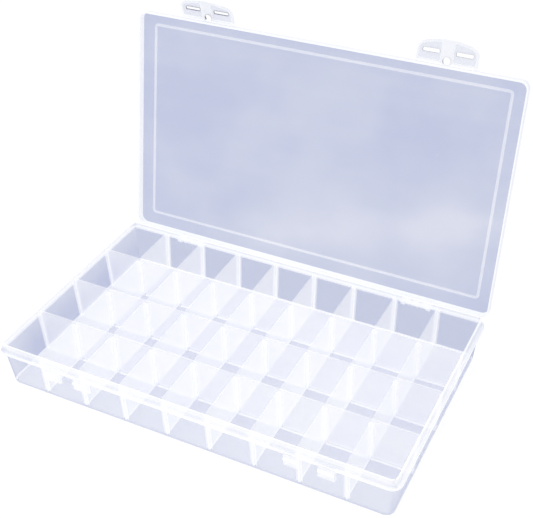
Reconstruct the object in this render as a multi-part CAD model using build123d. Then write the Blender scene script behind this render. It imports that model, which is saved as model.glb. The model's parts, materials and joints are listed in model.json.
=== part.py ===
from build123d import *
import os
from math import cos, radians, sin

# A shallow organiser box of milky polypropylene: a tray with three fixed lengthwise walls, loose cross
# dividers that stand between guide ribs, and a lid on two snap hinges with two fold-over latches.
# The origin is the middle of the tray's underside. +X is right, -Y is the latch side, +Z is up.
# The lid and the latches are drawn closed and then turned to the open pose.

# Compartments: the end columns and rows run from the last divider or wall to the foot of the outer wall
COLUMNS = 9
ROW_NAMES = ["front", "mid_front", "mid_back", "back"]
COLUMN_PITCH = 30.0
ROW_PITCH = 39.75
END_COLUMN = 26.9
END_ROW = 36.45

# Tray walls, floor and rim
WALL = 1.2
FLOOR = 1.2
WALL_LEAN = 2.0
BASE_CORNER = 6.0
BASE_ROUND = 1.4
FLANGE_TOP = 28.2
FLANGE_THICK = 1.5
FLANGE_REACH = 2.5
LIP_HEIGHT = 4.6
LIP_CORNER = 4.5
RIM_BEVEL = 0.35

# Fixed lengthwise walls, loose dividers and the guide ribs between them
INNER_TOP = 32.5
INNER_FOOT = 1.6
INNER_CREST = 1.0
DIVIDER = 1.0
DIVIDER_CORNER = 1.2
DIVIDER_FIT = 0.15
DIVIDER_END_GAP = 0.3
DIVIDER_SEAT = 0.2
RIB = 1.1
RIB_REACH = 1.2
RIB_TOP = 30.0
RIB_LEAD = 0.9

# Lid, with a stiffening bead on its outer face
LID_WALL = 1.2
LID_FIT = 0.35
LID_SEAT = 0.3
PANEL_GAP = 0.5
LID_EDGE_ROUND = 1.1
BEAD_WIDTH = 1.8
BEAD_HEIGHT = 0.7
BEAD_CORNER = 3.0
BEAD_BEVEL = 0.3
BEAD_SIDE_INSET = 9.4
BEAD_FRONT_INSET = 8.4
BEAD_BACK_INSET = 9.4

# Snap hinges, each set in from the last divider: knuckles behind the rear wall hold a pin between two
# ears of the lid
HINGE_INSET = 17.0
HINGE_OUT = 3.3
HINGE_DROP = 2.7
LID_ANGLE = 99.8
PIN_RADIUS = 1.5
PIN_FIT = 0.08
KNUCKLE_COUNT = 3
KNUCKLE_PITCH = 5.8
KNUCKLE_WIDTH = 3.2
KNUCKLE_WALL = 1.3
KNUCKLE_MOUTH = 2.5
KNUCKLE_DEPTH = 7.5
EAR_WIDTH = 2.4
EAR_GAP = 0.4
EAR_RADIUS = 2.4
EAR_INSET = 1.6
EAR_FOOT = 0.8
HEEL_WIDTH = 1.6
HEEL_GAP = 0.2
NOTCH_GAP = 0.6

# Fold-over latches, each set in from the last divider: D-shaped plates with a thinner root along the
# straight side
LATCH_INSET = 21.5
LATCH_HALF = 19.9
LATCH_LENGTH = 15.0
LATCH_THICK = 1.4
LATCH_CROWN = 51.0
LATCH_SHOULDER = 6.0
LATCH_BEVEL = 0.3
LATCH_DROP = 3.5
LATCH_OUT = 0.65
LATCH_CLEAR = 0.5
LEFT_LATCH_ANGLE = 65.2
RIGHT_LATCH_ANGLE = 93.7
ROOT_RADIUS = 0.55
ROOT_HALF = 18.0
ROOT_WEB = 0.8
BORDER = 1.7
POCKET_DEPTH = 0.5
POCKET_CORNER = 1.0
CENTRE_BAND = 8.4
SLOT_SPREAD = 21.5
SLOT_DROP = 7.0
SLOT_LENGTH = 10.9
SLOT_WIDTH = 2.5
SLOT_CORNER = 0.5
HOLE_DROP = 1.8
HOLE_RADIUS = 2.45

# Catch lugs: hollow blocks under the front flange, each with a nib that fills a latch's slot
LUG_GAP = 0.3
LUG_DEPTH = 8.2
LUG_SLOPE = 3.0
LUG_PLAY = 0.7
LUG_SKIN = 1.2
NIB_REACH = 1.5
NIB_HEIGHT = 1.5
NIB_RAMP = 0.7

# Positions that follow from the sizes above
ROWS = len(ROW_NAMES)
BASE_X = (COLUMNS / 2 - 1) * COLUMN_PITCH + END_COLUMN
BASE_Y = (ROWS / 2 - 1) * ROW_PITCH + END_ROW
LIP_X = BASE_X + WALL_LEAN + WALL
LIP_Y = BASE_Y + WALL_LEAN + WALL
LIP_TOP = FLANGE_TOP + LIP_HEIGHT
FLANGE_X = LIP_X + FLANGE_REACH
FLANGE_Y = LIP_Y + FLANGE_REACH
FLANGE_CORNER = LIP_CORNER + FLANGE_REACH
FLANGE_UNDER = FLANGE_TOP - FLANGE_THICK
SKIRT_X = LIP_X + LID_FIT
SKIRT_Y = LIP_Y + LID_FIT
SKIRT_CORNER = LIP_CORNER + LID_FIT
LID_X = SKIRT_X + LID_WALL
LID_Y = SKIRT_Y + LID_WALL
LID_CORNER = SKIRT_CORNER + LID_WALL
LID_EDGE = FLANGE_TOP + LID_SEAT
PANEL_UNDER = LIP_TOP + PANEL_GAP
LID_TOP = PANEL_UNDER + LID_WALL
HINGE_Y = LIP_Y + HINGE_OUT
HINGE_Z = FLANGE_TOP - HINGE_DROP
HINGE_AXIS = Axis((0, HINGE_Y, HINGE_Z), (-1, 0, 0))
LATCH_Y = -(LID_Y + LATCH_OUT)
LATCH_Z = LID_TOP - LATCH_DROP
LATCH_AXIS = Axis((0, LATCH_Y, LATCH_Z), (-1, 0, 0))
PLATE_Y = -(FLANGE_Y + LATCH_CLEAR)
LUG_Y = PLATE_Y + LUG_GAP
DIVIDER_XS = [(k - COLUMNS / 2) * COLUMN_PITCH for k in range(1, COLUMNS)]
INNER_YS = [(k - ROWS / 2) * ROW_PITCH for k in range(1, ROWS)]
HINGE_X = DIVIDER_XS[-1] - HINGE_INSET
LATCH_X = DIVIDER_XS[-1] - LATCH_INSET


def outline_at(half_x, half_y, corner, z):
    """A rounded rectangle about the origin at height z."""
    return Plane.XY.offset(z) * RectangleRounded(2 * half_x, 2 * half_y, corner)


def side_plate(points, x, width):
    """A flat piece square to X, with its middle at x and an outline of (y, z) points."""
    face = Plane.YZ.offset(x - width / 2) * make_face(Polyline(*points, close=True))
    return extrude(face, width)


def disc(y, z, radius, x, width):
    """A round with its axis along X and its middle at x."""
    face = Plane.YZ.offset(x - width / 2) * Pos(y, z) * Circle(radius)
    return extrude(face, width)


def lean(z):
    """How far a leaning outer wall stands out at height z."""
    return WALL_LEAN * min(z, FLANGE_TOP) / FLANGE_TOP


def inner_face(z):
    """The front and back walls' inner faces, from the middle of the tray."""
    return BASE_Y + lean(z)


def mid_wall(z):
    """The middle of the front and back walls' thickness, from the middle of the tray."""
    return inner_face(z) + WALL / 2


def tray_outside():
    """The tray's outside as a solid: leaning walls with a round foot, and the upright lip."""
    foot = outline_at(BASE_X + WALL, BASE_Y + WALL, BASE_CORNER, 0)
    top = outline_at(LIP_X, LIP_Y, LIP_CORNER, FLANGE_TOP)
    body = loft([foot, top], ruled=True)
    body = fillet(body.edges().group_by(Axis.Z)[0], BASE_ROUND)
    return body + extrude(top, LIP_HEIGHT)


def tray_inside():
    """The space between the outer walls, from the floor up past the lip."""
    foot = outline_at(BASE_X + lean(FLOOR), BASE_Y + lean(FLOOR), BASE_CORNER - WALL, FLOOR)
    top = outline_at(LIP_X - WALL, LIP_Y - WALL, LIP_CORNER - WALL, FLANGE_TOP)
    return loft([foot, top], ruled=True) + extrude(top, 2 * LIP_HEIGHT)


def tray_middle():
    """The space out to the middle of the outer walls' thickness, from the middle of the floor's."""
    low = FLOOR / 2
    reach = lean(low) + WALL / 2
    foot = outline_at(BASE_X + reach, BASE_Y + reach, BASE_CORNER - WALL / 2, low)
    top = outline_at(LIP_X - WALL / 2, LIP_Y - WALL / 2, LIP_CORNER - WALL / 2, FLANGE_TOP)
    return loft([foot, top], ruled=True) + extrude(top, LIP_HEIGHT)


def tray_shell():
    """Floor, outer walls, lip and flange."""
    flange = extrude(outline_at(FLANGE_X, FLANGE_Y, FLANGE_CORNER, FLANGE_UNDER), FLANGE_THICK)
    flange = chamfer(flange.edges().group_by(Axis.Z)[-1], RIM_BEVEL)
    shell = tray_outside() + flange - tray_inside()
    return chamfer(shell.edges().group_by(Axis.Z)[-1], RIM_BEVEL)


def inner_wall(y):
    """A fixed lengthwise wall, thicker at its foot."""
    foot = INNER_FOOT / 2
    crest = INNER_CREST / 2
    outline = [(y - foot, 0), (y + foot, 0), (y + crest, INNER_TOP), (y - crest, INNER_TOP)]
    return side_plate(outline, 0, 2 * LIP_X)


def inner_rib(y, x):
    """A guide rib that shows on both faces of a lengthwise wall."""
    foot = INNER_FOOT / 2 + RIB_REACH
    crest = INNER_CREST / 2 + RIB_REACH
    tip = crest - RIB_LEAD
    shoulder = RIB_TOP - RIB_LEAD
    outline = [(y - foot, 0), (y + foot, 0), (y + crest, shoulder), (y + tip, RIB_TOP)]
    outline += [(y - tip, RIB_TOP), (y - crest, shoulder)]
    return side_plate(outline, x, RIB)


def outer_rib(side, x):
    """A guide rib on the front (-1) or back (+1) wall, leaning with it."""
    shoulder = RIB_TOP - RIB_LEAD
    crest = inner_face(shoulder) - RIB_REACH
    outline = [(side * (inner_face(0) - RIB_REACH), 0), (side * crest, shoulder)]
    outline += [(side * (crest + RIB_LEAD), RIB_TOP), (side * mid_wall(RIB_TOP), RIB_TOP)]
    outline += [(side * mid_wall(0), 0)]
    return side_plate(outline, x, RIB)


def guide_ribs():
    """A pair of ribs at each end of every divider, with the divider's thickness and fit between."""
    offset = DIVIDER / 2 + DIVIDER_FIT + RIB / 2
    places = [x + turn * offset for x in DIVIDER_XS for turn in (-1, 1)]
    ribs = [inner_rib(y, x) for y in INNER_YS for x in places]
    return ribs + [outer_rib(side, x) for side in (-1, 1) for x in places]


def knuckle_xs(centre):
    """The middles of one hinge's knuckles."""
    first = centre - (KNUCKLE_COUNT - 1) / 2 * KNUCKLE_PITCH
    return [first + k * KNUCKLE_PITCH for k in range(KNUCKLE_COUNT)]


def ear_offset():
    """From the middle of a hinge to the middle of either ear."""
    knuckles = (KNUCKLE_COUNT - 1) * KNUCKLE_PITCH + KNUCKLE_WIDTH
    return knuckles / 2 + EAR_GAP + EAR_WIDTH / 2


def knuckle(x):
    """A C-shaped hook on the rear wall, with a mouth that the pin snaps through."""
    bore = PIN_RADIUS + PIN_FIT
    ring = bore + KNUCKLE_WALL
    foot = FLANGE_UNDER - KNUCKLE_DEPTH
    upper = (HINGE_Y - ring * cos(radians(70)), HINGE_Z + ring * sin(radians(70)))
    lower = (HINGE_Y - ring * cos(radians(60)), HINGE_Z - ring * sin(radians(60)))
    outline = [(mid_wall(FLANGE_UNDER), FLANGE_UNDER), upper, lower, (mid_wall(foot), foot)]
    hook = side_plate(outline, x, KNUCKLE_WIDTH) + disc(HINGE_Y, HINGE_Z, ring, x, KNUCKLE_WIDTH)
    mouth = Rot(X=45) * Pos(0, ring, 0) * Box(2 * KNUCKLE_WIDTH, 2 * ring, KNUCKLE_MOUTH)
    return hook - disc(HINGE_Y, HINGE_Z, bore, x, 2 * KNUCKLE_WIDTH) - Pos(x, HINGE_Y, HINGE_Z) * mouth


def hinge_notch(centre):
    """The gap in the rear flange that the ears swing through."""
    length = 2 * ear_offset() + EAR_WIDTH + 2 * NOTCH_GAP
    inner = HINGE_Y - EAR_RADIUS - NOTCH_GAP
    block = Box(length, FLANGE_REACH * 2, FLANGE_THICK * 3, align=(Align.CENTER, Align.MIN, Align.CENTER))
    return Pos(centre, inner, FLANGE_TOP - FLANGE_THICK / 2) * block


def catch_lug(x):
    """A block on the front wall, hollow from below, with a nib that ramps down to its tip."""
    width = SLOT_LENGTH - LUG_PLAY
    foot = FLANGE_UNDER - LUG_DEPTH
    root = foot - LUG_SLOPE
    high = LATCH_Z - SLOT_DROP + NIB_HEIGHT / 2
    low = high - NIB_HEIGHT
    tip = LUG_Y - NIB_REACH
    head = FLANGE_TOP - FLANGE_THICK / 2
    outline = [(-mid_wall(FLANGE_UNDER), head), (LUG_Y, head), (LUG_Y, high), (tip, high - NIB_RAMP)]
    outline += [(tip, low), (LUG_Y, low), (LUG_Y, foot), (-mid_wall(root), root)]
    back = LUG_Y + LUG_SKIN
    core = [(0, FLANGE_UNDER - LUG_SKIN), (back, FLANGE_UNDER - LUG_SKIN), (back, root), (0, root)]
    return side_plate(outline, x, width) - side_plate(core, x, width - 2 * LUG_SKIN)


def make_tray():
    """The whole tray moulding."""
    middle = tray_middle()
    shell = tray_shell()
    for centre in (-HINGE_X, HINGE_X):
        shell -= hinge_notch(centre)
    walls = [inner_wall(y) & middle for y in INNER_YS]
    hooks = [knuckle(x) for centre in (-HINGE_X, HINGE_X) for x in knuckle_xs(centre)]
    lugs = [catch_lug(x) for x in slot_xs(-LATCH_X) + slot_xs(LATCH_X)]
    ribs = [rib & middle for rib in guide_ribs()]
    return shell + walls + ribs + hooks + lugs


def divider_end(row, side, z):
    """The y of a divider's end at height z, towards the front (-1) or the back (+1)."""
    beyond = row + (0 if side > 0 else -1)
    if 0 <= beyond < len(INNER_YS):
        return INNER_YS[beyond] - side * (INNER_FOOT / 2 + DIVIDER_END_GAP)
    return side * (inner_face(z) - DIVIDER_END_GAP)


def make_divider(row, x):
    """A loose cross divider: its end beside an outer wall leans with that wall."""
    levels = [FLOOR + DIVIDER_SEAT, FLANGE_TOP, INNER_TOP]
    outline = [(divider_end(row, -1, z), z) for z in levels]
    outline += [(divider_end(row, 1, z), z) for z in reversed(levels)]
    plate = side_plate(outline, x, DIVIDER)
    return chamfer(plate.edges().filter_by(Axis.X).group_by(Axis.Z)[-1], DIVIDER_CORNER)


def lid_ear(x):
    """An ear behind the lid's skirt; its heel meets the rear wall when the lid is fully open."""
    inside = LID_Y - LID_WALL / 2
    top = LID_TOP - EAR_INSET
    outline = [(HINGE_Y - EAR_RADIUS, HINGE_Z), (inside, LID_EDGE), (inside, top)]
    outline += [(LID_Y + EAR_FOOT, top), (HINGE_Y + EAR_RADIUS, HINGE_Z)]
    reach = HINGE_Y - mid_wall(HINGE_Z) - WALL / 2 - HEEL_GAP
    heel = Pos(x, HINGE_Y, HINGE_Z) * Rot(X=-LID_ANGLE) * Pos(0, -reach / 2, 0) * Box(EAR_WIDTH, reach, HEEL_WIDTH)
    return side_plate(outline, x, EAR_WIDTH) + disc(HINGE_Y, HINGE_Z, EAR_RADIUS, x, EAR_WIDTH) + heel


def lid_bead():
    """The raised bead round the lid's outer face."""
    half_x = LID_X - BEAD_SIDE_INSET
    half_y = LID_Y - (BEAD_FRONT_INSET + BEAD_BACK_INSET) / 2
    shift = (BEAD_FRONT_INSET - BEAD_BACK_INSET) / 2
    outer = outline_at(half_x, half_y, BEAD_CORNER, LID_TOP)
    inner = outline_at(half_x - BEAD_WIDTH, half_y - BEAD_WIDTH, BEAD_CORNER - BEAD_WIDTH, LID_TOP)
    bead = extrude(outer - inner, BEAD_HEIGHT)
    return Pos(0, shift, 0) * chamfer(bead.edges().group_by(Axis.Z)[-1], BEAD_BEVEL)


def make_lid():
    """The lid as it lies when closed."""
    lid = extrude(outline_at(LID_X, LID_Y, LID_CORNER, LID_EDGE), LID_TOP - LID_EDGE)
    lid = fillet(lid.edges().group_by(Axis.Z)[-1], LID_EDGE_ROUND)
    lid -= extrude(outline_at(SKIRT_X, SKIRT_Y, SKIRT_CORNER, LID_EDGE), PANEL_UNDER - LID_EDGE)
    ears = [lid_ear(centre + side * ear_offset()) for centre in (-HINGE_X, HINGE_X) for side in (-1, 1)]
    pins = [disc(HINGE_Y, HINGE_Z, PIN_RADIUS, centre, 2 * ear_offset()) for centre in (-HINGE_X, HINGE_X)]
    return lid + lid_bead() + ears + pins


def slot_xs(centre):
    """The middles of a latch's two slots."""
    return [centre - SLOT_SPREAD / 2, centre + SLOT_SPREAD / 2]


def latch_outline():
    """The D shape: straight sides, round shoulders and a shallow crown, hanging from the root line."""
    block = Pos(0, -LATCH_LENGTH / 2) * Rectangle(2 * LATCH_HALF, LATCH_LENGTH)
    shape = block & Pos(0, LATCH_CROWN - LATCH_LENGTH) * Circle(LATCH_CROWN)
    return fillet(shape.vertices().group_by(Axis.Y)[0], LATCH_SHOULDER)


def latch_pockets():
    """The two shallow pockets inside the border, either side of the centre band."""
    field = offset(latch_outline(), -BORDER)
    field -= Pos(0, -LATCH_LENGTH / 2) * Rectangle(CENTRE_BAND, 2 * LATCH_LENGTH)
    corners = [corner for corner in field.vertices() if abs(corner.X) < CENTRE_BAND or corner.Y > -2 * BORDER]
    return fillet(corners, POCKET_CORNER)


def make_latch(centre):
    """A latch as it hangs when closed, with its pockets towards the tray; the hole breaks its root."""
    face = Plane((centre, PLATE_Y, LATCH_Z), x_dir=(1, 0, 0), z_dir=(0, -1, 0))
    plate = extrude(face * latch_outline(), LATCH_THICK)
    plate = chamfer(plate.faces().sort_by(Axis.Y)[0].edges(), LATCH_BEVEL)
    plate -= extrude(face * latch_pockets(), POCKET_DEPTH)
    web = [(LATCH_Y, LATCH_Z), (PLATE_Y, LATCH_Z), (PLATE_Y, LATCH_Z - ROOT_WEB), (LATCH_Y, LATCH_Z - ROOT_WEB)]
    root = disc(LATCH_Y, LATCH_Z, ROOT_RADIUS, centre, 2 * ROOT_HALF)
    latch = plate + side_plate(web, centre, 2 * ROOT_HALF) + root
    slots = [Pos(x - centre, -SLOT_DROP) * RectangleRounded(SLOT_LENGTH, SLOT_WIDTH, SLOT_CORNER)
             for x in slot_xs(centre)]
    for opening in slots + [Pos(0, -HOLE_DROP) * Circle(HOLE_RADIUS)]:
        latch -= extrude(face * opening, 2 * LATCH_THICK, both=True)
    return latch


def export(node, solid):
    """Writes one piece under its node's name."""
    export_step(solid, f"parts/{node}.step")


os.makedirs("parts", exist_ok=True)
export("tray", make_tray())
export("lid", make_lid().rotate(HINGE_AXIS, LID_ANGLE))
for side, centre, angle in (("left", -LATCH_X, LEFT_LATCH_ANGLE), ("right", LATCH_X, RIGHT_LATCH_ANGLE)):
    turned = make_latch(centre).rotate(LATCH_AXIS, angle)
    export(f"latch_{side}", turned.rotate(HINGE_AXIS, LID_ANGLE))
for row, row_name in enumerate(ROW_NAMES):
    for number, x in enumerate(DIVIDER_XS, 1):
        export(f"divider_{row_name}_{number}", make_divider(row, x))
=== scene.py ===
# %% [markdown]
# # A milky plastic compartment box
# The real thing is a shallow organiser of unpigmented polypropylene: a tray with 36 compartments, loose
# cross dividers, a hinged lid and two fold-over latches. Its shapes come ready from the CAD model, so
# this lesson is mostly about light and about thin, cloudy plastic.

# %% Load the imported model
import json
import math
import bpy
from mathutils import Matrix, Vector


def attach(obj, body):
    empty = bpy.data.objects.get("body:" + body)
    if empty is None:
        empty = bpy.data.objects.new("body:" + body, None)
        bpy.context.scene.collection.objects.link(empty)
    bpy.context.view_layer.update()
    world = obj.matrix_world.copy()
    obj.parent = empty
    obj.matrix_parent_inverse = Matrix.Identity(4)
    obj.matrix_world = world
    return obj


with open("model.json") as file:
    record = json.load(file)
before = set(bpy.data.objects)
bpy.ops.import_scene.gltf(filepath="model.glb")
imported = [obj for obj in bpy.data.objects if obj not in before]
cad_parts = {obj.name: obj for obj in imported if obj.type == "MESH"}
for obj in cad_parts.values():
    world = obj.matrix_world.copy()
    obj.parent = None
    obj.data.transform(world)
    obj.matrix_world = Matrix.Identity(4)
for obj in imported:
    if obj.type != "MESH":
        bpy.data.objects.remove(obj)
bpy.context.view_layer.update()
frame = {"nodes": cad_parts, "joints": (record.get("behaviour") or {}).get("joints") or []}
nodes = frame["nodes"]
joints = {joint["name"]: joint for joint in frame["joints"]}
scene = bpy.context.scene

# %% [markdown]
# ## Camera
# The photo looks down on the open box from the front right. A camera can be placed by trial, or worked
# out from corners whose real places are known. The second way was used: position, direction and lens
# came from a pinhole fit to the corners of the tray and lid, so they are written as plain numbers.

# %% Camera
PHOTO_WIDTH = 533
FOCAL_PIXELS = 1022.88
SENSOR = 36.0
eye = Vector((0.24916, -0.45006, 0.45343))
right = Vector((0.8940, 0.4477, -0.0163))
forward = Vector((-0.3738, 0.7253, -0.5781)).normalized()
right = (right - forward * right.dot(forward)).normalized()
up = right.cross(forward)

lens = bpy.data.cameras.new("photo_camera")
lens.sensor_width = SENSOR
lens.lens = FOCAL_PIXELS / PHOTO_WIDTH * SENSOR
lens.clip_start = 0.01
camera = bpy.data.objects.new("photo_camera", lens)
scene.collection.objects.link(camera)
turn = Matrix((right, up, -forward)).transposed()
camera.matrix_world = Matrix.Translation(eye) @ turn.to_4x4()
scene.camera = camera
print("camera lens in mm:", round(lens.lens, 2))

# %% [markdown]
# ## Plain colours and many bounces
# The Standard view transform shows a colour as it is written, so it is set first. Light gets lost between
# cloudy walls only if the renderer stops following it, and then the compartments turn grey. So the limits
# on bounces and on see-through faces are set well above the number of walls that a ray can meet.

# %% View transform and light paths
scene.view_settings.view_transform = "Standard"
scene.cycles.transparent_max_bounces = 48
scene.cycles.diffuse_bounces = 24
scene.cycles.max_bounces = 32
print("bounces:", scene.cycles.max_bounces, "see-through faces:", scene.cycles.transparent_max_bounces)

# %% [markdown]
# ## Helpers
# Shader trees and geometry trees are built in the same way, so they share a few helpers. Wherever an input
# is filled, the value may be plain, or it may be the output of another node, and then a wire is drawn.

# %% Helpers for node trees
def join(tree, source, target):
    """Wires an output socket to an input socket, or sets the input to a plain value."""
    if isinstance(source, bpy.types.NodeSocket):
        tree.links.new(source, target)
    else:
        target.default_value = source


def add_node(tree, kind, inputs=None, **settings):
    """A new node with some of its settings and inputs filled in."""
    node = tree.nodes.new(kind)
    for name, value in settings.items():
        setattr(node, name, value)
    for name, value in (inputs or {}).items():
        join(tree, value, node.inputs[name])
    return node


def combine(tree, operation, *values, clamp=True):
    """A sum, product or other mix of two or three values, kept between 0 and 1 if clamped."""
    node = add_node(tree, "ShaderNodeMath", dict(enumerate(values)), operation=operation, use_clamp=clamp)
    return node.outputs[0]


def mixed(tree, share, first, second):
    """Two shaders as one, with the share that the second gets."""
    return add_node(tree, "ShaderNodeMixShader", {0: share, 1: first, 2: second}).outputs[0]


# %% Helper for colours
def linear(red, green, blue):
    """A colour given in 0 to 255 steps, as the linear numbers that shaders take (the sRGB curve)."""
    steps = [value / 255 for value in (red, green, blue)]
    return [s / 12.92 if s <= 0.04045 else ((s + 0.055) / 1.055) ** 2.4 for s in steps] + [1.0]


WHITE = linear(255, 255, 255)
STAGE_TONE = linear(187, 193, 218)
print("white:", WHITE, "stage tone:", [round(value, 3) for value in STAGE_TONE])

# %% [markdown]
# ## The stage
# The room is a pale grey-blue stage in even light. Seen directly it is white paper, as in the photo; seen
# through the plastic it is the grey-blue that gives the box its cool tone. One shader does both: the
# Transparent Depth of the look says whether it has come through plastic. Light that only falls on the box
# sees a plain white room.

# %% What the stage shows to which look
def seen_mix(tree, straight, through, other):
    """Mixes three shaders: for straight looks, for looks through plastic, and for all other light."""
    path = add_node(tree, "ShaderNodeLightPath").outputs
    behind = combine(tree, "GREATER_THAN", path["Transparent Depth"], 0.5, clamp=False)
    mirrored = combine(tree, "ADD", path["Is Glossy Ray"], path["Is Transmission Ray"])
    seen = combine(tree, "ADD", path["Is Camera Ray"], mirrored)
    return mixed(tree, seen, other, mixed(tree, behind, straight, through))


# %% World
ROOM_LIGHT = 0.97
world = bpy.data.worlds.new("room")
scene.world = world
world.use_nodes = True
tree = world.node_tree
tree.nodes.clear()
seen_straight = add_node(tree, "ShaderNodeBackground", {"Color": WHITE})
seen_through = add_node(tree, "ShaderNodeBackground", {"Color": STAGE_TONE})
room_light = add_node(tree, "ShaderNodeBackground", {"Color": WHITE, "Strength": ROOM_LIGHT})
room = seen_mix(tree, seen_straight.outputs[0], seen_through.outputs[0], room_light.outputs[0])
add_node(tree, "ShaderNodeOutputWorld", {"Surface": room})
print("world nodes:", len(tree.nodes))

# %% Table top
TABLE_REACH = 3.0
TABLE_DROP = 0.0001
table_mesh = bpy.data.meshes.new("table_top")
corners = [(x * TABLE_REACH, y * TABLE_REACH, -TABLE_DROP) for x, y in ((-1, -1), (1, -1), (1, 1), (-1, 1))]
table_mesh.from_pydata(corners, [], [(0, 1, 2, 3)])
table_top = bpy.data.objects.new("table_top", table_mesh)
scene.collection.objects.link(table_top)
print("table corners:", len(table_mesh.vertices))

# %% Table paper
PAPER_GLOW = 0.7
PAPER_ALBEDO = 0.97


def half_lit(tree, colour, glow):
    """A matt surface that glows a little, so that only part of its tone is open to shadow."""
    matt = add_node(tree, "ShaderNodeBsdfDiffuse", {"Color": colour})
    light = add_node(tree, "ShaderNodeEmission", {"Color": colour})
    return mixed(tree, glow, matt.outputs[0], light.outputs[0])


paper = bpy.data.materials.new("stage_paper")
paper.use_nodes = True
tree = paper.node_tree
tree.nodes.clear()
plain = add_node(tree, "ShaderNodeBsdfDiffuse", {"Color": (PAPER_ALBEDO, PAPER_ALBEDO, PAPER_ALBEDO, 1.0)})
seen_straight = half_lit(tree, WHITE, PAPER_GLOW)
seen_through = half_lit(tree, STAGE_TONE, PAPER_GLOW)
surface = seen_mix(tree, seen_straight, seen_through, plain.outputs[0])
add_node(tree, "ShaderNodeOutputMaterial", {"Surface": surface})
table_mesh.materials.append(paper)
print("paper nodes:", len(tree.nodes))

# %% [markdown]
# ## Lamps
# The room gives nearly all the light, because milky plastic is shown best without hard shadows. Two weak
# area lamps, one above and one from the left, only keep the upward faces a little brighter.

# %% Lamps
BOX_MIDDLE = Vector((0.0, 0.02, 0.06))


def soft_lamp(name, place, size, power):
    """A square area lamp that points at the middle of the box."""
    light = bpy.data.lights.new(name, "AREA")
    light.size = size
    light.energy = power
    lamp = bpy.data.objects.new(name, light)
    scene.collection.objects.link(lamp)
    aim = (BOX_MIDDLE - Vector(place)).to_track_quat("-Z", "Y")
    lamp.matrix_world = Matrix.Translation(place) @ aim.to_matrix().to_4x4()


soft_lamp("top_lamp", (-0.1, 0.0, 1.3), size=1.0, power=2.5)
soft_lamp("key_lamp", (-0.8, -0.6, 0.9), size=0.7, power=1.0)

# %% [markdown]
# ## Cloudy plastic
# Polypropylene without pigment lets most of the light straight through a thin wall and scatters the rest.
# A volume would do that exactly, but it is slow and noisy. Here each face carries a share of white and
# lets the rest through: a thin wall is clear from its side, while its top edge, with the whole wall under
# it, is white. So each kind of face gets its own share, written as the shader's Alpha.
#
# The white itself isn't even. The melt leaves soft clouds and faint flow lines, use leaves fine scratches,
# and the mould's own grain breaks up the gloss. Each of these is a noise texture on Object coordinates,
# so it stays on the piece when the piece moves.

# %% A noise value between two limits
def noise_value(tree, place, scale, detail, low, high, stretch=(1.0, 1.0, 1.0), tilt=(0.0, 0.0, 0.0)):
    """A noise texture whose range from low to high becomes 0 to 1; stretch above 1 packs it closer."""
    mapping = add_node(tree, "ShaderNodeMapping", {"Vector": place, "Scale": stretch, "Rotation": tilt})
    noise = add_node(tree, "ShaderNodeTexNoise", {"Vector": mapping.outputs[0], "Scale": scale,
                                                  "Detail": detail, "Roughness": 0.5})
    spread = add_node(tree, "ShaderNodeMapRange", {"Value": noise.outputs["Fac"], "From Min": low,
                                                   "From Max": high})
    return spread.outputs["Result"]


def two_tone(tree, share, dark, light):
    """A colour that goes from dark to light as the share goes from 0 to 1."""
    ramp = add_node(tree, "ShaderNodeValToRGB", {"Fac": share})
    for element, colour in zip(ramp.color_ramp.elements, (dark, light)):
        element.color = colour
    return ramp.outputs["Color"]


# %% [markdown]
# Some haze, painted shade and painted reflection have a place of their own, such as a corner or a streak.
# A spherical gradient is 1 at its centre and fades to 0 at a distance of 1, and a Mapping node of the
# Texture type gives it a real centre, three radii and a tilt.

# %% A soft oval patch
def soft_patch(tree, place, centre, radii, tilt):
    """A value that is 1 at a centre and fades to 0 at three radii; the oval may be tilted about Y."""
    placing = {"Vector": place, "Location": centre, "Rotation": (0.0, tilt, 0.0), "Scale": radii}
    mapping = add_node(tree, "ShaderNodeMapping", placing, vector_type="TEXTURE")
    scaled = {"Vector": mapping.outputs[0]}
    gradient = add_node(tree, "ShaderNodeTexGradient", scaled, gradient_type="SPHERICAL")
    return gradient.outputs["Fac"]


def round_patch(x, y, z, radius, strength):
    """The centre, radii, tilt and strength of a patch that is equally wide all round."""
    return (x, y, z), (radius, radius, radius), 0.0, strength


# %% The plastic
DRAWN_ALONG_X = (0.03, 1.0, 1.0)
SCRATCH_TILT = (0.1, 0.2, 0.1)
FLOW_SHARE, CLOUD_SHARE, MARK_SHARE = 0.25, 0.75, 0.3
SATIN, GRAIN_ROUGHNESS, MARK_ROUGHNESS = 0.24, 0.12, 0.3
MARK_DEPTH = -0.15
PLASTIC_IOR = 1.49


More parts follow.
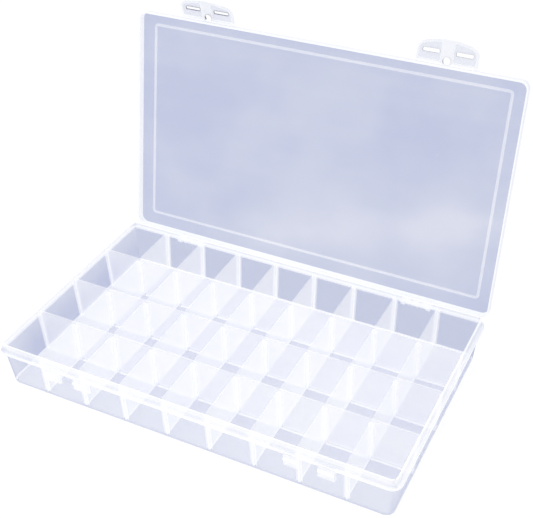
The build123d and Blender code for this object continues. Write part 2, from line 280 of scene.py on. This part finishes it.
def cloudy_plastic(name, cloud, tones, gloss=0.0, mottle=1.0, patches=()):
    """Milky polypropylene: cloud is the share of a face that isn't clear, tones its darkest and lightest."""
    material = bpy.data.materials.new(name)
    material.use_nodes = True
    tree = material.node_tree
    place = add_node(tree, "ShaderNodeTexCoord").outputs["Object"]
    clouds = noise_value(tree, place, scale=22.0, detail=3.0, low=0.3, high=0.7)
    flow = noise_value(tree, place, scale=160.0, detail=2.0, low=0.35, high=0.75, stretch=DRAWN_ALONG_X)
    scratches = noise_value(tree, place, scale=1300.0, detail=1.0, low=0.70, high=0.78,
                            stretch=DRAWN_ALONG_X, tilt=SCRATCH_TILT)
    worn = noise_value(tree, place, scale=30.0, detail=1.0, low=0.5, high=0.7)
    grain = noise_value(tree, place, scale=2600.0, detail=2.0, low=0.2, high=0.8)
    marks = combine(tree, "MULTIPLY", scratches, worn)

    share = combine(tree, "MULTIPLY", clouds, CLOUD_SHARE * mottle)
    share = combine(tree, "MULTIPLY_ADD", flow, FLOW_SHARE * mottle, share)
    for centre, radii, tilt, strength in patches:
        share = combine(tree, "MULTIPLY_ADD", soft_patch(tree, place, centre, radii, tilt), strength, share)
    share = combine(tree, "MULTIPLY_ADD", marks, MARK_SHARE, share)
    satin = combine(tree, "MULTIPLY_ADD", grain, GRAIN_ROUGHNESS, SATIN)
    height = combine(tree, "MULTIPLY_ADD", marks, MARK_DEPTH, grain)
    bump = add_node(tree, "ShaderNodeBump", {"Strength": 0.1, "Distance": 0.00005, "Height": height})
    look = {"Base Color": two_tone(tree, share, *tones),
            "Roughness": combine(tree, "MULTIPLY_ADD", marks, MARK_ROUGHNESS, satin),
            "Normal": bump.outputs[0], "Alpha": cloud, "IOR": PLASTIC_IOR, "Specular IOR Level": gloss}
    for label, value in look.items():
        join(tree, value, tree.nodes["Principled BSDF"].inputs[label])
    return material


# %% [markdown]
# The numbers below are the shares, one for each kind of face: walls and panels are nearly clear,
# and edges, ribs and rims, which hold more plastic in the direction of the look, are nearly white.

# %% One material for each kind of face
CLOUD = {"floor": 0.235, "wall": 0.07, "base_edge": 0.7, "inner": 0.26, "inner_top": 0.3, "lip": 0.48,
         "flange": 0.4, "rib": 0.5, "gap": 0.55, "lug": 0.4, "lug_rim": 0.55, "hinge": 0.5,
         "hinge_low": 0.08, "edge": 0.7, "divider": 0.3, "divider_top": 0.15, "divider_end": 0.6,
         "skirt": 0.65, "bead": 0.6, "latch": 0.36, "latch_border": 0.58, "latch_rim": 0.72,
         "slot_wall": 0.8, "fillet": 0.45, "pip": 0.15}
MILKY_TONES = (linear(252, 253, 255), WHITE)
LILAC_TONES = (linear(250, 250, 255), WHITE)
# The slot walls get a painted shade: a dark grey-blue, nearly opaque, that stands for the shade inside the
# latches' slots and hole.
SLOT_SHADE_TONES = (linear(100, 104, 124), linear(140, 144, 166))
TONES = {"floor": LILAC_TONES, "inner": LILAC_TONES, "slot_wall": SLOT_SHADE_TONES}
GLOSS = {"edge": 0.3, "lug_rim": 0.3, "hinge": 0.3, "latch_rim": 0.3}
plastic = {}
for kind, cloud in CLOUD.items():
    tones = TONES.get(kind, MILKY_TONES)
    plastic[kind] = cloudy_plastic(f"plastic_{kind}", cloud, tones, gloss=GLOSS.get(kind, 0.0))
print("materials:", list(plastic))

# %% [markdown]
# The lid's panel is one large, even wall, so its haze shows more than any other. It gets a darker second
# tone and soft patches: milkier ones low down and at the top middle, clearer ones near the upper corners,
# and two slanted streaks across its lower half, which are a painted reflection.

# %% The lid's panel
LID_CLOUD = 0.2
LID_SHADE = linear(202, 208, 230)
REFLECTION_STREAK_TILT = -0.26
LID_HAZE_AND_REFLECTION = [
    round_patch(0.075, 0.098, 0.070, 0.07, 0.42),
    round_patch(0.0, 0.095, 0.050, 0.07, 0.3),
    round_patch(0.0, 0.112, 0.150, 0.05, 0.3),
    round_patch(-0.098, 0.106, 0.118, 0.05, -0.42),
    round_patch(0.082, 0.110, 0.140, 0.045, -0.42),
    round_patch(0.055, 0.108, 0.120, 0.05, -0.3),
    # The two slanted streaks are a painted reflection.
    ((0.0, 0.096, 0.052), (0.17, 0.1, 0.02), REFLECTION_STREAK_TILT, 0.35),
    ((0.118, 0.101, 0.087), (0.06, 0.1, 0.018), REFLECTION_STREAK_TILT, 0.45),
    ((-0.111, 0.100, 0.078), (0.035, 0.1, 0.035), 0.0, 0.2)]
plastic["lid"] = cloudy_plastic("plastic_lid", LID_CLOUD, (LID_SHADE, WHITE), mottle=0.55,
                                patches=LID_HAZE_AND_REFLECTION)
print("patches on the lid:", len(LID_HAZE_AND_REFLECTION))

# %% [markdown]
# The tray's two end walls are shaded in the same way: a darker second tone and a lighter band towards the
# rim are a painted shade that leaves them darker towards the foot, and they are lighter in the front left
# corner.

# %% The tray's end walls
END_CLOUD = 0.2
END_SHADE = linear(198, 203, 225)
# Painted shade: the band lightens the end walls towards the rim, so that they are darker towards the foot.
END_PATCHES = [
    ((0.0, 0.0, 0.030), (1.0, 1.0, 0.018), 0.0, 0.7),
    round_patch(-0.133, -0.080, 0.010, 0.03, 0.9)]
plastic["side"] = cloudy_plastic("plastic_side", END_CLOUD, (END_SHADE, WHITE), mottle=0.3,
                                 patches=END_PATCHES)
print("patches on the end walls:", len(END_PATCHES))

# %% [markdown]
# ## Which plastic each face gets
# A CAD node comes as loose triangles. Their shapes may not change, but each may have its own material
# slot. The rules below are easiest for a closed box, whose walls are upright and whose lid is level, so a
# face of the lid or a latch is first turned back about its hinges, which the frame gives.

# %% Back to the closed box
MILLIMETRES = 1000.0


def swing_back(joint_name):
    """The turn that closes a hinge that the model shows open, as a matrix in the rest pose."""
    joint = joints[joint_name]
    pivot = Matrix.Translation(joint["pos_m"])
    spin = Matrix.Rotation(math.radians(joint["range_deg"][0]), 4, Vector(joint["axis"]))
    return pivot @ spin @ pivot.inverted()


def extent(corners):
    """The lowest and highest x, y and z of some points, in rounded millimetres."""
    return [[round(MILLIMETRES * pick(c[k] for c in corners), 2) for k in range(3)] for pick in (min, max)]


close_lid = swing_back("lid_hinge")
closing = {"lid": close_lid}
for side in ("left", "right"):
    closing[f"latch_{side}"] = close_lid @ swing_back(f"latch_{side}_hinge")
for name, turned in closing.items():
    print(name, "closed, in mm:", extent([turned @ v.co for v in nodes[name].data.vertices]))

# %% [markdown]
# A rule gets a face's middle c, its normal n and the x of its corners xs, all for the closed box and in
# millimetres. Most limits are places of the CAD model, with a little play. The others are for the normal:
# above 0.9 along an axis a face is square to it, above 0.7 it mainly looks that way, and above 0.5 it
# rather does. A face is level above 0.99 along Z, and upright up to 0.1.

# %% Limits for the tray, in millimetres
SQUARE, MAINLY, RATHER = 0.9, 0.7, 0.5
LEVEL, UPRIGHT = 0.99, 0.1
PLAY, MARGIN = 0.05, 0.1
PITCH_X, ROW_YS, ROW_WALL = 30.0, (-39.75, 0.0, 39.75), 1.0
FLOOR_Z = 1.3
BASE_EDGE, BASE_EDGE_Z = (131.5, 76.0), 1.4
WALL_FOOT_Y, WALL_LEAN, WALL_DEPTH = 77.4, 2.0, 0.5
FLANGE, FLANGE_Z = (135.2, 79.5), (26.7, 28.2)
LIP, INNER_TOP_Z = (133.5, 77.8), 32.3
HINGE_Z = 24.0
LUG_XS, LUG_HALF = (72.75, 94.25), 5.3
RIB_OUTER, RIB_GAP = 1.9, 0.8
LAST_RIB_X, END_WALL_X = 107.0, 131.0


def wall_face(z):
    """The outer face of the front and back walls, which lean until the flange."""
    return WALL_FOOT_Y + WALL_LEAN * min(z, FLANGE_Z[1]) / FLANGE_Z[1]


def beyond(c, limits):
    """Whether a point lies further out than a limit for x or one for y."""
    return abs(c.x) > limits[0] or abs(c.y) > limits[1]


print("front wall at foot and flange:", wall_face(0.0), wall_face(FLANGE_Z[1]))

# %% Rules for the tray
def outside_kind(c, n):
    """The kind of a face that stands out from the tray's walls: lugs in front, hinges behind."""
    if c.y >= 0:
        return "hinge" if c.z > HINGE_Z else "hinge_low"
    if min(abs(abs(c.x) - x) for x in LUG_XS) < LUG_HALF:
        return "lug" if abs(n.y) > MAINLY else "lug_rim"
    return "wall"


def rib_kind(n, xs):
    """The kind of a face that belongs to a divider's guide ribs, or None for any other face."""
    from_divider = max(abs((x / PITCH_X) % 1 - 0.5) * PITCH_X for x in xs)
    if max(xs) - min(xs) >= 2 * RIB_OUTER or from_divider >= RIB_OUTER:
        return None
    return "gap" if from_divider < RIB_GAP and abs(n.x) > SQUARE else "rib"


def tray_kind(c, n, xs):
    """The kind of a tray face."""
    if c.z < FLOOR_Z and abs(n.z) > SQUARE:
        return "floor"
    if c.z < BASE_EDGE_Z and abs(n.z) > UPRIGHT and beyond(c, BASE_EDGE):
        return "base_edge"
    if abs(c.y) > wall_face(c.z) + MARGIN and c.z < FLANGE_Z[0] + PLAY and abs(n.z) < LEVEL:
        return outside_kind(c, n)
    if FLANGE_Z[0] - PLAY < c.z < FLANGE_Z[1] + PLAY and beyond(c, FLANGE):
        return "flange" if abs(n.z) > SQUARE else "edge"
    if c.z > FLANGE_Z[1] + MARGIN and beyond(c, LIP):
        return "edge" if abs(n.z) > RATHER else "lip"
    if c.z > INNER_TOP_Z and n.z > RATHER:
        return "inner_top"
    inside = abs(c.y) < wall_face(c.z) - WALL_DEPTH and abs(c.x) < LAST_RIB_X and c.z > FLOOR_Z
    kind = rib_kind(n, xs) if inside else None
    if kind:
        return kind
    if min(abs(c.y - y) for y in ROW_YS) < ROW_WALL and abs(n.y) > RATHER:
        return "inner"
    return "side" if abs(c.x) > END_WALL_X and abs(n.x) > MAINLY else "wall"


# %% Rules for the lid
LID_HINGE_Y, BEAD_Z, LID_FOOT_Z = 81.2, 34.55, 28.7
PANEL, PANEL_Z = (136.0, 80.3), 33.0


def lid_kind(c, n, xs):
    """The kind of a lid face, with the lid closed."""
    if c.y > LID_HINGE_Y:
        return "hinge"
    if c.z > BEAD_Z:
        return "bead"
    if abs(n.z) > SQUARE and c.z > PANEL_Z and not beyond(c, PANEL):
        return "lid"
    return "edge" if abs(n.z) > SQUARE and c.z < LID_FOOT_Z else "skirt"


# %% Rules for the latches
LATCH_X, LATCH_TOP_Z = 83.5, 31.0
BACK_Y, BORDER_Y, POCKET_Y = -82.35, -82.6, -82.95
SLOT_ACROSS, SLOT_DROP = (5.0, 16.5), (5.5, 8.5)
HOLE_ACROSS, HOLE_DROP = 3.0, 4.5
POCKET_ACROSS, POCKET_DROP = 18.5, 13.5


def latch_kind(c, n, xs):
    """The kind of a latch face, with the latch closed; a drop is counted from its straight side."""
    if c.y > BACK_Y:
        return "latch_border"
    if abs(n.y) > SQUARE:
        return "latch_border" if c.y > BORDER_Y else "latch"
    across = abs(abs(c.x) - LATCH_X)
    drop = LATCH_TOP_Z - c.z
    in_slot = SLOT_ACROSS[0] < across < SLOT_ACROSS[1] and SLOT_DROP[0] < drop < SLOT_DROP[1]
    in_hole = across < HOLE_ACROSS and drop < HOLE_DROP
    in_pocket = c.y > POCKET_Y and across < POCKET_ACROSS and drop < POCKET_DROP
    # The walls of the slots and the hole get the dark slot_wall plastic, a painted shade.
    if in_slot or in_hole:
        return "slot_wall"
    return "latch" if in_pocket else "latch_rim"


# %% Rules for the dividers
RISING = 0.3


def divider_kind(c, n, xs):
    """The kind of a divider's face: broad side, top, or end."""
    if abs(n.x) > SQUARE:
        return "divider"
    return "divider_top" if n.z > RISING else "divider_end"


# %% Give every face its slot
RULES = {"tray": tray_kind, "lid": lid_kind, "latch": latch_kind, "divider": divider_kind}
for name, node in nodes.items():
    mesh = node.data
    turned = closing.get(name, Matrix.Identity(4))
    rule = RULES[name.split("_")[0]]
    kinds = []
    for face in mesh.polygons:
        xs = [mesh.vertices[k].co.x * MILLIMETRES for k in face.vertices]
        kinds.append(rule(turned @ face.center * MILLIMETRES, turned.to_3x3() @ face.normal, xs))
    used = sorted(set(kinds))
    mesh.materials.clear()
    for kind in used:
        mesh.materials.append(plastic[kind])
    for face, kind in zip(mesh.polygons, kinds):
        face.material_index = used.index(kind)
    if not name.startswith("divider") or name.endswith("front_1"):
        print(name, {kind: kinds.count(kind) for kind in used})

# %% [markdown]
# ## Foot fillets
# A mould has no sharp inside corners: a small round runs along the foot of each lengthwise wall, in every
# compartment and on both sides, and shows as a thin white line. Dozens of equal strips are work for
# Geometry Nodes: one strip is made from a line and a profile, turned for the other side, and set on a grid.
# The grid's pitch is a little under that of the compartments, as the outermost ones are narrower.

# %% Helpers for geometry trees
def new_tree(name, sizes):
    """A geometry tree with a mesh input, named float inputs and a mesh output."""
    tree = bpy.data.node_groups.new(name, "GeometryNodeTree")
    tree.interface.new_socket("Geometry", in_out="INPUT", socket_type="NodeSocketGeometry")
    for label in sizes:
        tree.interface.new_socket(label, in_out="INPUT", socket_type="NodeSocketFloat")
    tree.interface.new_socket("Geometry", in_out="OUTPUT", socket_type="NodeSocketGeometry")
    return tree, tree.nodes.new("NodeGroupInput").outputs


def end_tree(tree, instances, material):
    """Ends a tree as the export needs it: real geometry with its material set."""
    real = add_node(tree, "GeometryNodeRealizeInstances", {0: instances})
    painted = add_node(tree, "GeometryNodeSetMaterial", {"Geometry": real.outputs[0], "Material": material})
    add_node(tree, "NodeGroupOutput", {0: painted.outputs[0]})


def grown_mesh(name, seed_mesh, tree, sizes):
    """The plain mesh object that a geometry tree makes from a seed mesh."""
    maker = bpy.data.objects.new(name + "_maker", seed_mesh)
    scene.collection.objects.link(maker)
    modifier = maker.modifiers.new("grow", "NODES")
    modifier.node_group = tree
    for item in tree.interface.items_tree:
        if item.in_out == "INPUT" and item.name in sizes:
            modifier[item.identifier] = sizes[item.name]
    ready = maker.evaluated_get(bpy.context.evaluated_depsgraph_get())
    mesh = bpy.data.meshes.new_from_object(ready)
    mesh.name = name
    bpy.data.objects.remove(maker)
    piece = bpy.data.objects.new(name, mesh)
    scene.collection.objects.link(piece)
    print(name, "has", len(mesh.polygons), "faces, in mm:", extent([v.co for v in mesh.vertices]))
    return piece


# %% Helpers that add to the current geometry tree
def number(operation, first, second):
    """A sum or product."""
    return combine(tree, operation, first, second, clamp=False)


def vector(x=0.0, y=0.0, z=0.0):
    """A vector from its three parts."""
    return add_node(tree, "ShaderNodeCombineXYZ", {0: x, 1: y, 2: z}).outputs[0]


def moved(geometry, place=(0.0, 0.0, 0.0), turn=(0.0, 0.0, 0.0), scale=(1.0, 1.0, 1.0)):
    """Geometry scaled, turned and moved."""
    placing = {"Geometry": geometry, "Translation": place, "Rotation": turn, "Scale": scale}
    return add_node(tree, "GeometryNodeTransform", placing).outputs[0]


def both(first, second):
    """Two geometries as one."""
    node = tree.nodes.new("GeometryNodeJoinGeometry")
    for geometry in (first, second):
        join(tree, geometry, node.inputs[0])
    return node.outputs[0]


def on_points(points, instance):
    """An instance on every point."""
    return add_node(tree, "GeometryNodeInstanceOnPoints", {"Points": points, "Instance": instance}).outputs[0]


# %% The strip
BURIED, ARC_MIDDLE = 0.15, 0.293


def swept_strip(radius, half):
    """A closed strip along X that fills a corner, and reaches a radius along +Y and +Z from it.

    Its hollow side passes through the middle of a round corner's arc, and its back is a little buried
    in the walls. A profile's X and Y become -Y and -Z on a line along X, so its signs are turned round.
    """
    buried = number("MULTIPLY", radius, BURIED)
    hollow = number("MULTIPLY", radius, -ARC_MIDDLE)
    reach = number("MULTIPLY", radius, -1.0)
    points = (vector(buried, reach), vector(buried, buried), vector(reach, buried), vector(hollow, hollow))
    profile = add_node(tree, "GeometryNodeCurvePrimitiveQuadrilateral", mode="POINTS")
    for k, point in enumerate(points, 1):
        join(tree, point, profile.inputs[f"Point {k}"])
    ends = {"Start": vector(number("MULTIPLY", half, -1.0)), "End": vector(half)}
    line = add_node(tree, "GeometryNodeCurvePrimitiveLine", ends)
    curves = {"Curve": line.outputs[0], "Profile Curve": profile.outputs[0], "Fill Caps": True}
    sweep = add_node(tree, "GeometryNodeCurveToMesh", curves)
    flat = add_node(tree, "GeometryNodeSetShadeSmooth", {"Geometry": sweep.outputs[0], "Shade Smooth": False})
    return flat.outputs[0]


# %% Foot fillets of the lengthwise walls, in metres
COLUMNS, INNER_WALLS = 9, 3
HALF_TURN = (0.0, 0.0, math.pi)
FILLET_SIZES = {"Radius": 0.0009, "Half Length": 0.0131, "Wall Foot": 0.0008, "Floor": 0.0012,
                "Column Pitch": 0.0298375, "Row Pitch": 0.03975}
tree, given = new_tree("foot_fillet_strips", FILLET_SIZES)
strip = swept_strip(given["Radius"], given["Half Length"])
one_side = moved(strip, vector(0.0, given["Wall Foot"], given["Floor"]))
pair = both(one_side, moved(one_side, turn=HALF_TURN))
width = number("MULTIPLY", given["Column Pitch"], COLUMNS - 1.0)
depth = number("MULTIPLY", given["Row Pitch"], INNER_WALLS - 1.0)
lattice = {"Vertices X": COLUMNS, "Vertices Y": INNER_WALLS, "Size X": width, "Size Y": depth}
grid = add_node(tree, "GeometryNodeMeshGrid", lattice)
end_tree(tree, on_points(grid.outputs["Mesh"], pair), plastic["fillet"])
fillets = grown_mesh("foot_fillets", bpy.data.meshes.new("seed"), tree, FILLET_SIZES)
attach(fillets, "tray")

# %% [markdown]
# Where a lengthwise wall runs into an end wall, the same round stands upright and follows the lean of the
# end wall. The strip is tipped up, leaned, set at one end of a wall and turned for the other end.

# %% Upright fillets at the ends of the lengthwise walls, in metres
END_SIZES = {"Radius": 0.0014, "Half Length": 0.0145, "Wall Half": 0.00065, "Side Face": 0.133,
             "Middle Height": 0.0155, "Row Pitch": 0.03975}
END_LEAN = math.atan2(WALL_LEAN, FLANGE_Z[1])
tree, given = new_tree("wall_end_fillet_strips", END_SIZES)
strip = moved(swept_strip(given["Radius"], given["Half Length"]), turn=(0.0, END_LEAN - math.pi / 2, 0.0))
near = moved(strip, vector(given["Side Face"], given["Wall Half"], given["Middle Height"]))
far = add_node(tree, "GeometryNodeFlipFaces", {0: moved(near, scale=(1.0, -1.0, 1.0))})
end = both(near, far.outputs[0])
first_row = vector(0.0, number("MULTIPLY", given["Row Pitch"], -1.0))
spacing = {"Count": INNER_WALLS, "Start Location": first_row, "Offset": vector(0.0, given["Row Pitch"])}
rows = add_node(tree, "GeometryNodeMeshLine", spacing)
end_tree(tree, on_points(rows.outputs[0], both(end, moved(end, turn=HALF_TURN))), plastic["fillet"])
end_fillets = grown_mesh("wall_end_fillets", bpy.data.meshes.new("seed"), tree, END_SIZES)
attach(end_fillets, "tray")

# %% [markdown]
# ## Pips on the lid
# Four tiny pips stand on the inside of the lid's panel, where the mould's channels ended. They could be
# part of the panel, but a low round pip on each of four points keeps the panel's mesh as it is. They are
# laid out on the closed lid and then turned open with it.

# %% Pips, in metres
PIP_PLACES = [(0.0786, -0.0481), (0.0856, -0.0221), (-0.0798, 0.0420), (0.0220, 0.0160)]
PANEL_UNDERSIDE = 0.0333
PIP_SIZES = {"Pip Radius": 0.0007, "Pip Height": 0.0004}
tree, given = new_tree("lid_pips", PIP_SIZES)
ball = add_node(tree, "GeometryNodeMeshUVSphere", {"Segments": 12, "Rings": 6, "Radius": 1.0})
pip_size = vector(given["Pip Radius"], given["Pip Radius"], given["Pip Height"])
pip = moved(ball.outputs["Mesh"], scale=pip_size)
end_tree(tree, on_points(given["Geometry"], pip), plastic["pip"])
seed = bpy.data.meshes.new("pip_places")
seed.from_pydata([(x, y, PANEL_UNDERSIDE) for x, y in PIP_PLACES], [], [])
pips = grown_mesh("lid_pips", seed, tree, PIP_SIZES)
pips.data.transform(close_lid.inverted())
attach(pips, "lid")
